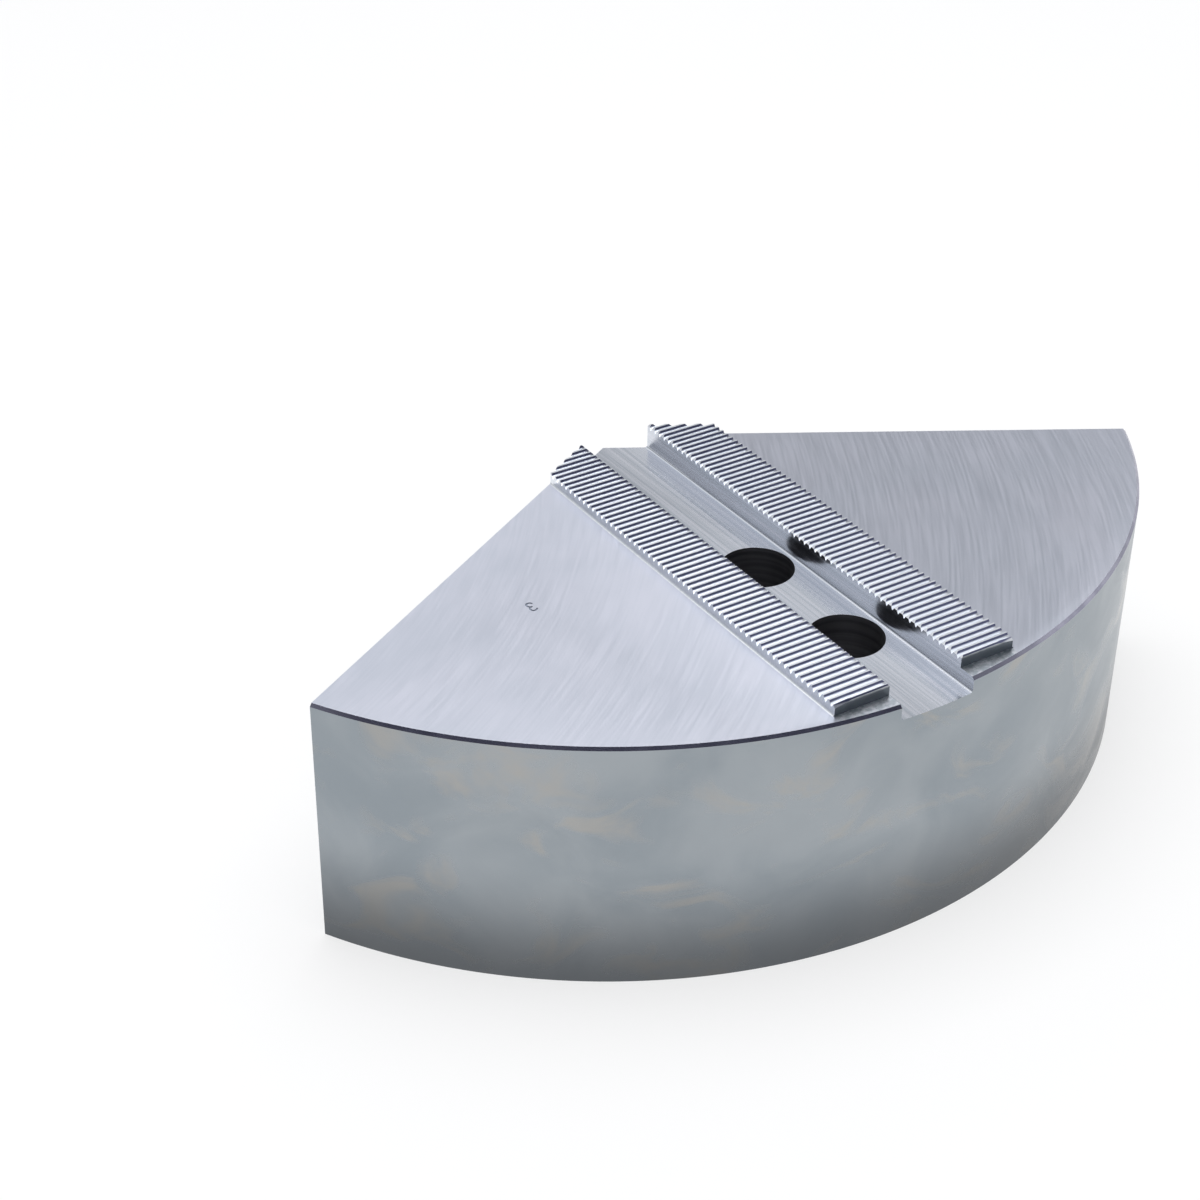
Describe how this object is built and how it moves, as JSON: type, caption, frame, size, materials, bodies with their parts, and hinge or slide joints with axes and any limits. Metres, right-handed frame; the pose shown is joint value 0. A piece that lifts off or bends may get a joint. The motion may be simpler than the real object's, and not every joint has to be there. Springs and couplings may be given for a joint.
{
  "type": "machinable soft jaw",
  "caption": "Pie-shaped aluminium soft jaw for a lathe chuck, with serrated rails, a guide slot and counterbored screw holes in its back, and a plain grip face to machine.",
  "frame": {"origin": "under the middle of the bounding box, on the plain grip face", "axes": "+Z out of the serrated back, Y along the guide slot with the point of the jaw at +Y and its outer arc at -Y, X across the slot"},
  "size_m": [0.1716, 0.0982, 0.049],
  "materials": {
    "aluminium": "milled and turned, bare"
  },
  "bodies": {
    "root": {"soft_jaw": "aluminium"}
  },
  "joints": []
}
